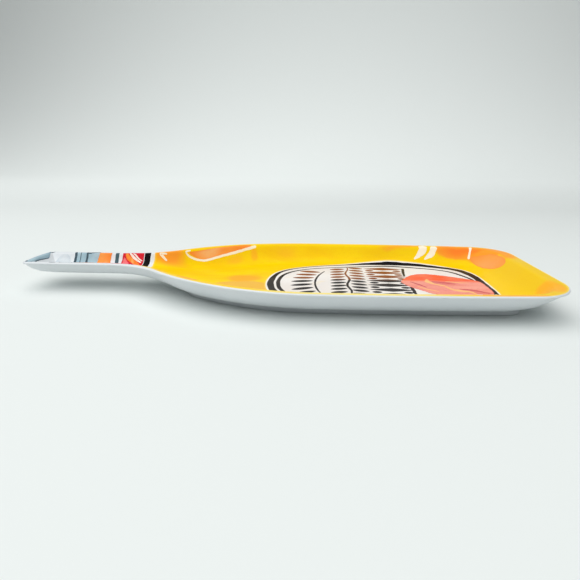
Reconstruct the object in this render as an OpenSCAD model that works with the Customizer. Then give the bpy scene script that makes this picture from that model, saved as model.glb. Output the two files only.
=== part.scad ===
// Bottle-shaped serving tray: a white melamine moulding on a low foot ring,
// with a printed decoration sealed into its upper face.
// X runs along the bottle with the base end at +X, Y runs across and Z is up.
// The origin is the middle of the outline's box, on the plane the foot rests on.

/* [Outline] */
// Overall length, handle tip to base end
tray_length = 378; // [360:2:400]
// Overall width across the body
tray_width = 151; // [145:1:158]
// Overall width across the neck, which is the handle
neck_width = 38.5; // [36:0.5:42]
// Width of the bare rounded lip outside the print
lip_width = 1.8; // [1.4:0.1:2.4]
// Distance of the widest point from the middle, towards the base
belly_x = 30; // [20:0.5:40]
// Distance of the neck's straight end from the middle, towards the tip
neck_end_x = 122.5; // [120:0.5:128]
// Radius of the concave curve between neck and shoulder
neck_fillet_r = 63; // [58:1:68]
// Radius of the faint bulge of the body's sides
side_bulge_r = 1750; // [1500:50:3000]
// Corner radius at the base end
base_corner_r = 28.5; // [25:0.5:32]
// Corner radius at the handle's tip
tip_corner_r = 2.5; // [2:0.5:5]
// Radius of the tip's slightly rounded edge
tip_bow_r = 90; // [70:5:120]

/* [Dish] */
// Height of the body's rim
body_rim_z = 20.5; // [19:0.5:22]
// Height that the rim gains towards the handle
handle_rise = 1.8; // [1:0.2:3]
// Underside of the dish above the resting plane, which is the foot's height
foot_height = 4.1; // [3:0.1:5]
// Underside of the handle above the resting plane
handle_clearance = 11.8; // [11:0.2:13]
// Thickness of the moulding in its floor
wall = 2.5; // [2.4:0.1:3.2]
// Plan width of the sloping side wall around the body
body_wall_run = 24; // [22:1:27]
// Plan width of the sloping side wall along the handle
neck_wall_run = 13; // [11:0.5:14]
// How strongly the wall eases out towards the floor, underneath
cove_power = 2.35; // [2:0.05:2.6]
// How strongly the wall eases out towards the floor, above
top_cove_power = 2.6; // [2.2:0.1:2.8]
// Part of the wall's plan width that is nearly level, next to the lip
rim_flat = 0.18; // [0.1:0.01:0.2]

/* [Foot] */
// Distance of the foot's outer edge inside the print's edge
foot_inset = 22; // [20:1:25]
// Width of the foot ring
foot_width = 3.4; // [2.5:0.1:4]
// Corner radius of the foot ring
foot_corner_r = 13; // [9:1:15]
// Radius of the foot's round end under the shoulder
foot_nose_r = 30; // [26:1:34]

/* [Print] */
// Thickness of the printed overlay
foil = 0.25; // [0.2:0.05:0.4]
// Half length of the label's oval
label_a = 142; // [130:2:150]
// Half width of the label's oval
label_b = 59.5; // [56:0.5:62]
// Distance of the label's middle from the origin
label_x = 91; // [88:0.5:93]
// Distance of the label's blunt head from its middle
label_head = 98; // [92:0.5:100]
// Distance of the label's flat foot from its middle
label_foot = 65; // [60:1:68]

/* [Hidden] */

// Half widths and ends of the printed area, inside the lip
body_half = tray_width / 2 - lip_width;
neck_half = neck_width / 2 - lip_width;
base_x = tray_length / 2 - lip_width;
tip_x = -base_x;

// The shoulder is the one arc that is tangent to the neck's fillet and level at
// the widest point
span_x = belly_x + neck_end_x;
span_y = body_half - neck_half;
shoulder_r = (span_x * span_x + span_y * span_y) / (2 * span_y) - neck_fillet_r;
turn = asin(span_x / (neck_fillet_r + shoulder_r));
shoulder_c = [belly_x, body_half - shoulder_r];
fillet_c = [-neck_end_x, neck_half + neck_fillet_r];
side_c = [belly_x, body_half - side_bulge_r];
tip_c = [tip_x + tip_bow_r, 0];

// Smallest corner radius of a loop that is set far in
tight_r = 2;
// Distance over which the dish grows out of the neck
dish_start_x = 11 - neck_end_x;
dish_full_x = dish_start_x + 68;
// Distance over which the rim rises to the handle
rise_start_x = 31.5;
rise_end_x = -98.5;
// Extra width of the sloping wall at the handle's tip, and its reach along X
tip_scoop = 4;
tip_reach = 22;
// The same at the base end
base_scoop = 16;
base_reach = 44;
// The wall under the lip starts this far outside the print's edge, this far below the rim
underlip_out = 0.4;
underlip_drop = 1.7;
// Radius of the lip's rounded edge, and height of the lip's side
lip_r = 1;
lip_side = 1.2;
// Softness of the turn from the level rim into the wall
rim_round = 0.05;
// Depth that one ink layer sinks into what it lies on
sink = 0.08;

// Points on each stretch of a half loop
end_n = 3;
corner_n = 8;
side_n = 12;
shoulder_n = 14;
fillet_n = 9;
neck_n = 6;
tip_corner_n = 5;
tip_n = 2;
half_n = end_n + corner_n + side_n + shoulder_n + fillet_n + neck_n + tip_corner_n + tip_n;

function ease(t) = let (c = min(1, max(0, t))) c * c * (3 - 2 * c);
function mix(a, b, t) = a + (b - a) * t;
function polar(c, r, a) = c + r * [cos(a), sin(a)];

// 0 in the handle, 1 in the body
function dish(x) = ease((x - dish_start_x) / (dish_full_x - dish_start_x));
function rim_z(x) = body_rim_z + handle_rise * ease((rise_start_x - x) / (rise_start_x - rise_end_x));
function under_z(x) = mix(handle_clearance, foot_height, dish(x));
function loop_run(x) = mix(neck_wall_run, body_wall_run, dish(x));
function wall_run(x) =
    loop_run(x) + tip_scoop * ease(1 - (x - tip_x) / tip_reach)
    + base_scoop * ease(1 - (base_x - x) / base_reach);

// Centre of the base corner and of the tip corner, in a loop set in by s
function base_corner_c(s, r) =
    let (cx = base_x - s - r, reach = side_bulge_r - s - r)
    [cx, side_c.y + sqrt(reach * reach - (cx - side_c.x) * (cx - side_c.x))];
function tip_corner_c(s, r) =
    let (cy = neck_half - s - r, reach = tip_bow_r - s - r)
    [tip_c.x - sqrt(reach * reach - cy * cy), cy];

// Distance of a point inside the print's edge
function side_gap(x, y) =
    x < -neck_end_x ? neck_half - y
    : x > belly_x ? side_bulge_r - norm([x, y] - side_c)
    : atan2(belly_x - x, y - shoulder_c.y) < turn ? shoulder_r - norm([x, y] - shoulder_c)
    : norm([x, y] - fillet_c) - neck_fillet_r;
function edge_gap(x, y) =
    let (
        cb = base_corner_c(0, base_corner_r),
        ct = tip_corner_c(0, tip_corner_r),
        side = side_gap(x, y),
        side_a = atan2(cb.y - side_c.y, cb.x - side_c.x),
        a = atan2(y - cb.y, x - cb.x),
        tip_a = atan2(ct.y - tip_c.y, ct.x - tip_c.x),
        b = atan2(y - ct.y, x - ct.x)
    )
    a > 0 && a < side_a && x > cb.x ? base_corner_r - norm([x, y] - cb)
    : x < ct.x && b > 90 && b < tip_a ? tip_corner_r - norm([x, y] - ct)
    : x < tip_c.x ? min(side, tip_bow_r - norm([x, y] - tip_c))
    : min(side, base_x - x);

// Upper and lower faces of the dish
function past_rim(u) = let (d = u - rim_flat) (d + sqrt(d * d + rim_round * rim_round)) / 2;
function top_cove(u) =
    let (start = past_rim(0), end = past_rim(1), c = min(1, max(0, u)))
    pow(1 - (past_rim(c) - start) / (end - start), top_cove_power);
function top_z(x, y) =
    let (low = under_z(x) + wall)
    mix(low, rim_z(x), top_cove(edge_gap(x, abs(y)) / wall_run(x)));
function bottom_z(x, y) =
    let (
        low = under_z(x),
        u = (edge_gap(x, abs(y)) + underlip_out) / (wall_run(x) + underlip_out)
    )
    mix(low, rim_z(x) - underlip_drop, pow(1 - min(1, max(0, u)), cove_power));

// Half of the outline, base end to handle tip: set in by the fraction u of the
// wall's plan width, and out by a distance
function half_loop(u, out = 0) =
    let (
        s = u * body_wall_run - out,
        t = u * neck_wall_run - out,
        rb = max(base_corner_r - s, tight_r),
        rt = max(tip_corner_r - t, tight_r),
        cb = base_corner_c(s, rb),
        ct = tip_corner_c(t, rt),
        side_a = atan2(cb.y - side_c.y, cb.x - side_c.x),
        tip_a = atan2(ct.y - tip_c.y, ct.x - tip_c.x)
    )
    concat(
        [for (i = [0:end_n - 1]) [base_x - s, cb.y * i / end_n]],
        [for (i = [0:corner_n - 1]) polar(cb, rb, side_a * i / corner_n)],
        [for (i = [0:side_n - 1]) polar(side_c, side_bulge_r - s, mix(side_a, 90, i / side_n))],
        [for (i = [0:shoulder_n - 1])
            let (a = 90 + turn * i / shoulder_n)
            polar(shoulder_c, shoulder_r - u * loop_run(shoulder_c.x + shoulder_r * cos(a)) + out, a)],
        [for (i = [0:fillet_n - 1])
            let (
                a = turn * (1 - i / fillet_n),
                run = loop_run(fillet_c.x + neck_fillet_r * sin(a))
            )
            polar(fillet_c, neck_fillet_r + u * run - out, a - 90)],
        [for (i = [0:neck_n - 1]) [mix(-neck_end_x, ct.x, i / neck_n), neck_half - t]],
        [for (i = [0:tip_corner_n - 1]) polar(ct, rt, mix(90, tip_a, i / tip_corner_n))],
        [for (i = [0:tip_n]) polar(tip_c, tip_bow_r - t, mix(tip_a, 180, i / tip_n))]
    );

// Middle line of the dish, one point for each point of a half loop
function spine() =
    let (
        inner = half_loop(1),
        body_n = end_n + corner_n + side_n,
        neck_stop = half_n - tip_corner_n - tip_n
    )
    [for (i = [0:half_n])
        [i < body_n ? mix(inner[0].x, belly_x, i / body_n)
            : i <= neck_stop ? inner[i].x
            : mix(inner[neck_stop].x, inner[half_n].x, (i - neck_stop) / (half_n - neck_stop)), 0]];

function on_top(loop) = [for (p = loop) [p.x, p.y, top_z(p.x, p.y)]];
function on_bottom(loop) = [for (p = loop) [p.x, p.y, bottom_z(p.x, p.y)]];
// Point of the lip's rounded edge at angle a above level
function on_lip(a) =
    [for (p = half_loop(0, lip_width - lip_r + lip_r * cos(a)))
        [p.x, p.y, rim_z(p.x) - lip_r + lip_r * sin(a)]];
function both_sides(half) =
    concat(half, [for (i = [half_n - 1:-1:1]) [half[i].x, -half[i].y, half[i].z]]);
function between(a, b, t) = [for (i = [0:len(a) - 1]) mix(a[i], b[i], t)];

module tray_shell() {
    inner = half_loop(1);
    middle = spine();
    halves = concat(
        [on_top(middle), for (t = [0.5, 0.7, 0.8, 0.9, 1]) on_top(between(middle, inner, t))],
        [for (u = [0.82, 0.65, 0.5, 0.36, 0.24, 0.14, 0.07, 0]) on_top(half_loop(u))],
        [for (a = [90:-30:0]) on_lip(a)],
        [[for (p = half_loop(0, lip_width)) [p.x, p.y, rim_z(p.x) - lip_side]]],
        [on_bottom(half_loop(0, underlip_out))],
        [for (u = [0, 0.12, 0.25, 0.4, 0.55, 0.75]) on_bottom(half_loop(u))],
        [for (t = [1, 0.8, 0.5]) on_bottom(between(middle, inner, t)), on_bottom(middle)]
    );
    last = len(halves) - 1;
    n = 2 * half_n;
    points = concat(halves[0], [for (k = [1:last - 1]) each both_sides(halves[k])], halves[last]);
    // The first and last loops are the middle line, which both sides share
    function id(k, j) =
        let (m = j % n, fold = m <= half_n ? m : n - m)
        k == 0 ? fold : (half_n + 1) + (k - 1) * n + (k == last ? fold : m);
    color("whitesmoke") polyhedron(points, [
        for (k = [0:last - 1], j = [0:n - 1])
            let (a = id(k, j), b = id(k, j + 1), c = id(k + 1, j + 1), d = id(k + 1, j))
            each j < half_n ? [[a, b, c], [a, c, d]] : [[a, b, d], [b, c, d]]
    ]);
}

// Half of the foot's plan, set in by s from the print's edge
nose_n = 10;
function foot_loop(s, nose_r) =
    let (
        rb = foot_corner_r - (s - foot_inset),
        cb = base_corner_c(s, rb),
        side_a = atan2(cb.y - side_c.y, cb.x - side_c.x),
        reach = shoulder_r - s - nose_r,
        nose = [belly_x - sqrt(reach * reach - shoulder_c.y * shoulder_c.y), 0],
        nose_a = atan2(nose.y - shoulder_c.y, nose.x - shoulder_c.x),
        half = concat(
            [for (i = [0:end_n - 1]) [base_x - s, cb.y * i / end_n]],
            [for (i = [0:corner_n - 1]) polar(cb, rb, side_a * i / corner_n)],
            [for (i = [0:side_n - 1]) polar(side_c, side_bulge_r - s, mix(side_a, 90, i / side_n))],
            [for (i = [0:nose_n - 1]) polar(shoulder_c, shoulder_r - s, mix(90, nose_a, i / nose_n))],
            [for (i = [0:nose_n]) polar(nose, nose_r, mix(nose_a, 180, i / nose_n))]
        ),
        last = len(half) - 1
    )
    concat(half, [for (i = [last - 1:-1:1]) [half[i].x, -half[i].y]]);

module foot_ring() {
    outer = foot_loop(foot_inset, foot_nose_r);
    inner = foot_loop(foot_inset + foot_width, foot_nose_r - foot_width);
    bevel = 0.7;
    bevel_z = 1;
    outer_low = foot_loop(foot_inset + bevel, foot_nose_r - bevel);
    inner_low = foot_loop(foot_inset + foot_width - bevel, foot_nose_r - foot_width + bevel);
    n = len(outer);
    function up(loop) = [for (p = loop) [p.x, p.y, bottom_z(p.x, p.y) + sink]];
    function level(loop, z) = [for (p = loop) [p.x, p.y, z]];
    rings = [
        up(outer), level(outer, bevel_z), level(outer_low, 0),
        level(inner_low, 0), level(inner, bevel_z), up(inner)
    ];
    m = len(rings);
    color("gainsboro") polyhedron([for (r = rings) each r], [
        for (k = [0:m - 1], j = [0:n - 1])
            let (
                j1 = (j + 1) % n, k1 = (k + 1) % m,
                a = k * n + j, b = k * n + j1, c = k1 * n + j1, d = k1 * n + j
            )
            each [[a, b, c], [a, c, d]]
    ]);
}

// Thin closed sheet on the dish's upper face. rows is a grid of plan points
// whose rows run the way X falls; a closed sheet joins each row's two ends.
module sheet(rows, closed = false, lift = 0, capped = false) {
    r = len(rows);
    c = len(rows[0]);
    half = r * c;
    cells = closed ? c : c - 1;
    flat = [for (row = rows) each row];
    points = [for (z = [foil, -sink], p = flat) [p.x, p.y, top_z(p.x, p.y) + lift + z]];
    function id(i, j) = i * c + j % c;
    polyhedron(points, concat(
        [for (i = [0:r - 2], j = [0:cells - 1])
            let (a = id(i, j), b = id(i, j + 1), d = id(i + 1, j + 1), e = id(i + 1, j))
            each [
                [a, b, d], [a, d, e],
                [a + half, d + half, b + half], [a + half, e + half, d + half]
            ]],
        [for (j = [0:cells - 1])
            let (a = id(0, j), b = id(0, j + 1))
            each [[a, a + half, b + half], [a, b + half, b]]],
        [for (j = [0:cells - 1])
            let (a = id(r - 1, j), b = id(r - 1, j + 1))
            each capped ? [] : [[a, b + half, a + half], [a, b, b + half]]],
        closed ? [] : [for (i = [0:r - 2])
            let (a = id(i, 0), b = id(i + 1, 0), d = id(i, c - 1), e = id(i + 1, c - 1))
            each [
                [a, b + half, a + half], [a, b, b + half],
                [d, d + half, e + half], [d, e + half, e]
            ]],
        capped ? [
            [for (j = [0:c - 1]) id(r - 1, j)],
            [for (j = [c - 1:-1:0]) id(r - 1, j) + half]
        ] : []
    ));
}

// Grid across the neck between two places along X, with its points closer together
// towards the rim. The bands lean a little and stop short of the print's edge.
lean = 0.05;
band_margin = 1.8;
function band(x0, x1, rows = 6, cols = 16) =
    [for (i = [0:rows])
        [for (j = [0:cols])
            let (
                x = mix(x1, x0, i / rows),
                y = sin(mix(-90, 90, j / cols)) * (band_half(x) - band_margin)
            )
            [x - lean * y, y]]];
function band_half(x) =
    x < -neck_end_x ? neck_half
    : fillet_c.y - sqrt(neck_fillet_r * neck_fillet_r - (x - fillet_c.x) * (x - fillet_c.x));

// Brush stroke between two plan points, tapering from one width to the other
function stroke(p, q, w0, w1, rows = 4) =
    let (d = (q - p) / norm(q - p), n = [-d.y, d.x])
    [for (i = [0:rows])
        let (t = i / rows, c = mix(p, q, t), w = mix(w0, w1, t) / 2)
        [for (v = [-1, 0, 1]) c - n * (v * w)]];

// Stretches of the neck's print along X, at the middle line
pale_x = [-162.6, -144.4];
line_xs = [[-162.6, -160.8], [-153.2, -151.4]];
orange_x = [-144.4, -133.2];
slate_x = [-128.6, -126];
red_x = [-124.4, -107.3];
black_x = [-106.6, -102.7];
field_x = -98.1;

// The wash on the tip narrows from its base to the tip's edge
wash_base_x = tip_x + 6;
wash_side = 2;
module cap_tip_wash() {
    rows = 6;
    color("lightsteelblue") sheet([for (i = [0:rows])
        [for (v = [-1:0.125:1])
            let (
                y = v * (neck_half - wash_side),
                edge_x = tip_c.x - sqrt(tip_bow_r * tip_bow_r - y * y) + 0.4
            )
            [mix(wash_base_x + 3 * v, edge_x, i / rows), y]]]);
}
module cap_pale_band() {
    color("lightblue") sheet(band(pale_x[0], pale_x[1]));
}
module cap_lines() {
    color("slategray") for (x = line_xs) sheet(band(x[0], x[1], 1), lift = foil);
}
module cap_orange_band() {
    color("sandybrown") sheet(band(orange_x[0], orange_x[1]));
}
module neck_slate_band() {
    color("darkslategray") sheet(band(slate_x[0], slate_x[1], 1));
}
module neck_red_band() {
    color("crimson") sheet(band(red_x[0], red_x[1]));
}
module neck_red_band_strokes() {
    inset = 2;
    fall = 10;
    color("white") for (y = [16, 8])
        sheet(stroke([red_x[0] + inset, y], [red_x[1] - inset, y - fall], 1.6, 1.2), lift = foil);
}
module neck_black_band() {
    color("black") sheet(band(black_x[0], black_x[1], 1));
}

// The label's outline in polar form: a lens-like oval, cut off blunt at its head and foot
label_c = [label_x, -2];
blend_power = 6.4;
oval_power = 1.54;
function label_r(a) =
    let (
        along = pow(abs(cos(a)) / label_a, oval_power),
        aside = pow(abs(sin(a)) / label_b, oval_power),
        oval = pow(along + aside, -1 / oval_power),
        straight = abs(cos(a)) / (cos(a) < 0 ? label_head : label_foot)
    )
    pow(pow(oval, -blend_power) + pow(straight, blend_power), -1 / blend_power);
label_n = 72;
function label_loop(inset) =
    [for (i = [0:label_n - 1]) let (a = 360 * i / label_n) polar(label_c, label_r(a) - inset, a)];

// Outline of the yellow field, from the base end round to the neck and back
function field_loop() =
    let (
        side = [for (p = half_loop(0)) if (p.x > field_x) p],
        half_w = band_half(field_x),
        near = [for (i = [len(side) - 1:-1:1]) [side[i].x, -side[i].y]]
    )
    concat(side, [for (a = [90:-10:-90]) [field_x - lean * half_w * sin(a), half_w * sin(a)]], near);

// The field's rows are closer together towards the rim, where the surface bends most
field_rows = 14;
field_crowding = 1.8;
module body_field() {
    color("gold") sheet([for (i = [0:field_rows])
        [for (p = field_loop())
            let (a = atan2(p.y - label_c.y, p.x - label_c.x))
            mix(p, polar(label_c, label_r(a), a), pow(i / field_rows, field_crowding))]],
        closed = true);
}
function blot(c, a, b, n = 16) = [for (t = [1, 0.6, 0.15])
    [for (i = [0:n - 1]) c + t * [a * cos(360 * i / n), b * sin(360 * i / n)]]];
module field_blots() {
    color("sandybrown") {
        sheet(blot([170.5, 43], 9, 12), closed = true, lift = foil, capped = true);
        sheet(stroke([-72, 33.5], [-32, 58], 4, 4, 10), lift = foil);
        sheet(stroke([-63, -41.5], [-48, -51], 3, 3.5, 6), lift = foil);
    }
}
module field_highlights() {
    color("cornsilk") {
        sheet(stroke([-95, 21.5], [-90, 18], 1.8, 2.4), lift = foil);
        sheet(stroke([123, 68], [115, 60.5], 4.5, 2), lift = foil);
        sheet(stroke([131.5, 67.5], [124, 60.5], 3.5, 1.6), lift = foil);
        sheet(stroke([161.5, 65.5], [159, 57.5], 2.2, 2.8), lift = foil);
        sheet(stroke([-78, 30], [-65, 33], 1.5, 1.5), lift = foil);
        sheet(stroke([-65, 33], [-24, 60], 1.5, 1.5, 10), lift = foil);
    }
}

module label_panel() {
    color("seashell") sheet([for (t = [1, 0.85, 0.6, 0.3])
        [for (p = label_loop(0)) mix(label_c, p, t)]], closed = true, capped = true);
}
module label_border() {
    color("dimgray") for (e = [[0.5, 4], [7.5, 8.7]])
        sheet([label_loop(e[0]), label_loop(e[1])], closed = true, lift = foil);
}

// Ink that lies wholly on the dish's flat floor
ink_z = foot_height + wall + foil;
ink = 0.15;
module flat_ink() {
    translate([0, 0, ink_z]) linear_extrude(ink) children();
}
// Pointed oval and diamond, their long axes along X
module leaf(length, width) {
    n = 6;
    function side(i, way) =
        let (t = 2 * i / n - 1)
        [t * length / 2, way * width / 2 * pow(1 - t * t, 0.8)];
    polygon(concat([for (i = [0:n]) side(i, -1)], [for (i = [n - 1:-1:1]) side(i, 1)]));
}
module lozenge(length, width) {
    polygon([[length / 2, 0], [0, width / 2], [-length / 2, 0], [0, -width / 2]]);
}
module arc_stroke(r, w, a0, a1) {
    n = 12;
    polygon(concat(
        [for (i = [0:n]) polar([0, 0], r, mix(a0, a1, i / n))],
        [for (i = [n:-1:0]) polar([0, 0], r - w, mix(a0, a1, i / n))]
    ));
}
// The ornament's first row follows an arc, the others stand across the label
arc_c = [109.5, -3];
arc_r = 80;
vine_x = 54.5;
lozenge_x = 84.5;
dash_x = 98.5;
module label_rules() {
    color("dimgray") flat_ink() {
        translate(arc_c) arc_stroke(arc_r, 1.2, 155, 205);
        for (y = [[20, 40], [-26, -12]]) translate([dash_x, y[0]]) square([1.8, y[1] - y[0]]);
    }
}
module label_leaf_row() {
    pitch = 6;
    color("saddlebrown") flat_ink()
        for (a = [-4 * pitch:pitch:4 * pitch])
            translate(arc_c) rotate(180 + a) translate([arc_r + 10, 0]) rotate(12) leaf(17, 5.4);
}
module label_vine_row() {
    pitch = 7.8;
    stem = 1.6;
    stem_half = 43;
    reach = 7.6;
    color("saddlebrown") flat_ink() {
        translate([vine_x - stem / 2, -stem_half]) square([stem, 2 * stem_half]);
        for (y = [-5 * pitch:pitch:5 * pitch], way = [-1, 1])
            translate([vine_x + way * reach, y + 2.2 * way]) rotate(14 * way) leaf(12.5, 5);
    }
}
module label_lozenge_row() {
    pitch = 11.6;
    bead_reach = 11;
    color("saddlebrown") flat_ink() {
        for (i = [-3.5:1:3.5]) translate([lozenge_x, i * pitch]) lozenge(32, 8.6);
        for (i = [-3:1:3], way = [-1, 1])
            translate([lozenge_x + way * bead_reach, i * pitch]) leaf(7, 4.6);
    }
}

// The emblem is a soft oval that leans a little, crossed by one falling wave
emblem_c = [124.5, -2];
emblem_half = [29, 27.5];
module label_emblem() {
    slant = 4;
    color("salmon") flat_ink() translate(emblem_c) polygon([for (a = [0:10:350])
        [emblem_half.x * cos(a), emblem_half.y * sin(a) + slant * cos(a) * (1 - abs(sin(a)))]]);
}
module label_emblem_wave() {
    start = 110;
    length = 38;
    fall = 0.6;
    width = 2;
    function wave(x) = 2 - (x - start) * fall + 2.4 * sin(12 * x);
    color("bisque") translate([0, 0, ink]) flat_ink()
        polygon(concat(
            [for (x = [start:2:start + length]) [x, wave(x) + width / 2]],
            [for (x = [start + length:-2:start]) [x, wave(x) - width / 2]]
        ));
}

tray_shell();
foot_ring();
cap_tip_wash();
cap_pale_band();
cap_lines();
cap_orange_band();
neck_slate_band();
neck_red_band();
neck_red_band_strokes();
neck_black_band();
body_field();
field_blots();
field_highlights();
label_panel();
label_border();
label_rules();
label_leaf_row();
label_vine_row();
label_lozenge_row();
label_emblem();
label_emblem_wave();
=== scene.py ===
"""Looks of a bottle-shaped melamine serving tray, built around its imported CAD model."""
import math

import bpy
import numpy as np
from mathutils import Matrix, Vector
from mathutils.geometry import delaunay_2d_cdt


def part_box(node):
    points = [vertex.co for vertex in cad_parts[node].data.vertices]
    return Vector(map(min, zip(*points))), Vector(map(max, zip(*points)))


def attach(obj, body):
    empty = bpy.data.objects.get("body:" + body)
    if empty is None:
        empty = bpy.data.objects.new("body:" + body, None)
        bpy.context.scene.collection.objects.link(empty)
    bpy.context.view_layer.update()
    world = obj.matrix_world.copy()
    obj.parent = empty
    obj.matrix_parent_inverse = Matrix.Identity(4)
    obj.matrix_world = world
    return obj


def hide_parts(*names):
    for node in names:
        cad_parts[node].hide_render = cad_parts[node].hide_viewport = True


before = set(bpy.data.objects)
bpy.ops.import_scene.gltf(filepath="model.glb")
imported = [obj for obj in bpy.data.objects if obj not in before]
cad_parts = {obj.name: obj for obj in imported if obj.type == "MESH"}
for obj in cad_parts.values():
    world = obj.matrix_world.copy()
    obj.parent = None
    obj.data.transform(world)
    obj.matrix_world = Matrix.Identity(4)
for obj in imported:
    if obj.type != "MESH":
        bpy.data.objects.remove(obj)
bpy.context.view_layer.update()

MM = 0.001

# ---------------------------------------------------------------- sizes, in millimetres
shell_low, shell_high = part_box("tray_shell")
LENGTH = (shell_high.x - shell_low.x) / MM
WIDTH = (shell_high.y - shell_low.y) / MM
TOP_Z = shell_high.z / MM

LIP = 1.8                # bare rounded lip outside the print
LIP_R = 1.0              # radius of the lip's rounded edge
LIP_SIDE = 1.2           # height of the lip's side
NECK_WIDTH = 38.5
NECK_END_X = -122.5      # the neck's straight sides end here
BELLY_X = 30.0           # widest place
FILLET_R = 63.0          # concave curve between neck and shoulder
BULGE_R = 1750.0         # faint bulge of the body's sides
BASE_R = 28.5            # corner at the base end
TIP_R = 2.5              # corner at the handle's tip
TIP_BOW_R = 90.0         # slightly rounded edge of the tip
RIM_Z = 20.5             # rim of the body
FOOT_Z = 4.1             # underside of the dish
HANDLE_Z = 11.8          # underside of the handle
WALL = 2.5
BODY_RUN = 24.0          # plan width of the sloping wall, body and neck
NECK_RUN = 13.0
COVE = 2.35              # how strongly the wall eases out towards the floor, underneath
TOP_COVE = 2.6           # and above
RIM_FLAT, RIM_ROUND = 0.18, 0.05     # the rim's nearly level part, as fractions of the wall's width
TIP_SCOOP, TIP_REACH = 4.0, 22.0    # extra width of the sloping wall at the tip, and its reach
BASE_SCOOP, BASE_REACH = 16.0, 44.0  # the same at the base end
UNDERLIP = 0.4           # the wall under the lip starts this far outside the print
UNDERLIP_DROP = 1.7      # and this far below the rim
RISE_FROM, RISE_TO = 31.5, -98.5
DISH_FROM = NECK_END_X + 11.0
DISH_FULL = DISH_FROM + 68.0

BODY_HALF = WIDTH / 2 - LIP
NECK_HALF = NECK_WIDTH / 2 - LIP
BASE_X = LENGTH / 2 - LIP
TIP_X = -BASE_X
SPAN = BELLY_X - NECK_END_X
SHOULDER_R = (SPAN**2 + (BODY_HALF - NECK_HALF) ** 2) / (2 * (BODY_HALF - NECK_HALF)) - FILLET_R
TURN = math.asin(SPAN / (FILLET_R + SHOULDER_R))
SHOULDER_C = np.array([BELLY_X, BODY_HALF - SHOULDER_R])
FILLET_C = np.array([NECK_END_X, NECK_HALF + FILLET_R])
SIDE_C = np.array([BELLY_X, BODY_HALF - BULGE_R])
TIP_C = np.array([TIP_X + TIP_BOW_R, 0.0])


# ---------------------------------------------------------------- the dish's surface
def ease(t):
    t = np.clip(t, 0.0, 1.0)
    return t * t * (3 - 2 * t)


def mix(a, b, t):
    return a + (b - a) * t


def polar(centre, r, angle):
    """Points at angle (radians) and radius r round a centre."""
    return np.stack([centre[0] + r * np.cos(angle), centre[1] + r * np.sin(angle)], -1)


def dish(x):
    """0 in the handle, 1 in the body."""
    return ease((x - DISH_FROM) / (DISH_FULL - DISH_FROM))


def rim_z(x):
    return RIM_Z + (TOP_Z - RIM_Z) * ease((RISE_FROM - x) / (RISE_FROM - RISE_TO))


def under_z(x):
    return mix(HANDLE_Z, FOOT_Z, dish(x))


def loop_run(x):
    return mix(NECK_RUN, BODY_RUN, dish(x))


def wall_run(x):
    at_tip = TIP_SCOOP * ease(1 - (x - TIP_X) / TIP_REACH)
    return loop_run(x) + at_tip + BASE_SCOOP * ease(1 - (BASE_X - x) / BASE_REACH)


def base_corner(s, r):
    """Centre of the base corner in a loop set in by s."""
    cx = BASE_X - s - r
    return np.array([cx, SIDE_C[1] + math.sqrt((BULGE_R - s - r) ** 2 - (cx - SIDE_C[0]) ** 2)])


def tip_corner(s, r):
    cy = NECK_HALF - s - r
    return np.array([TIP_C[0] - math.sqrt((TIP_BOW_R - s - r) ** 2 - cy**2), cy])


def edge_gap(x, y):
    """Distance of plan points inside the print's edge."""
    x, y = np.broadcast_arrays(np.asarray(x, float), np.abs(np.asarray(y, float)))
    p = np.stack([x, y], -1)

    def away(c):
        return np.linalg.norm(p - c, axis=-1)

    on_shoulder = np.arctan2(BELLY_X - x, y - SHOULDER_C[1]) < TURN
    side = np.where(
        x < NECK_END_X,
        NECK_HALF - y,
        np.where(
            x > BELLY_X,
            BULGE_R - away(SIDE_C),
            np.where(on_shoulder, SHOULDER_R - away(SHOULDER_C), away(FILLET_C) - FILLET_R),
        ),
    )
    cb, ct = base_corner(0, BASE_R), tip_corner(0, TIP_R)
    side_a = math.atan2(cb[1] - SIDE_C[1], cb[0] - SIDE_C[0])
    tip_a = math.atan2(ct[1] - TIP_C[1], ct[0] - TIP_C[0])
    a = np.arctan2(y - cb[1], x - cb[0])
    b = np.arctan2(y - ct[1], x - ct[0])
    gap = np.where(x < TIP_C[0], np.minimum(side, TIP_BOW_R - away(TIP_C)), np.minimum(side, BASE_X - x))
    gap = np.where((x > cb[0]) & (a > 0) & (a < side_a), BASE_R - away(cb), gap)
    return np.where((x < ct[0]) & (b > math.pi / 2) & (b < tip_a), TIP_R - away(ct), gap)


def past_rim(u):
    d = u - RIM_FLAT
    return (d + np.sqrt(d * d + RIM_ROUND**2)) / 2


def top_cove(u):
    """1 at the print's edge, nearly level over the rim, 0 on the floor."""
    start, end = past_rim(0.0), past_rim(1.0)
    return (1 - (past_rim(np.clip(u, 0.0, 1.0)) - start) / (end - start)) ** TOP_COVE


def top_z(x, y):
    low = under_z(x) + WALL
    return mix(low, rim_z(x), top_cove(edge_gap(x, y) / wall_run(x)))


def bottom_z(x, y):
    u = (edge_gap(x, y) + UNDERLIP) / (wall_run(x) + UNDERLIP)
    return mix(under_z(x), rim_z(x) - UNDERLIP_DROP, (1 - np.clip(u, 0.0, 1.0)) ** COVE)


def top_normal(x, y):
    """Unit normals of the upper face."""
    e = 0.05
    dx = (top_z(x + e, y) - top_z(x - e, y)) / (2 * e)
    dy = (top_z(x, y + e) - top_z(x, y - e)) / (2 * e)
    n = np.stack([-dx, -dy, np.ones_like(dx)], -1)
    return n / np.linalg.norm(n, axis=-1, keepdims=True)


# ---------------------------------------------------------------- outlines
def both_sides(half):
    """Half an outline, in plan or with heights, and its mirror image."""
    mirrored = half[-2:0:-1].copy()
    mirrored[:, 1] *= -1
    return np.concatenate([half, mirrored])


TIGHT_R = 2.0            # smallest corner radius of the inner loops
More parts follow.
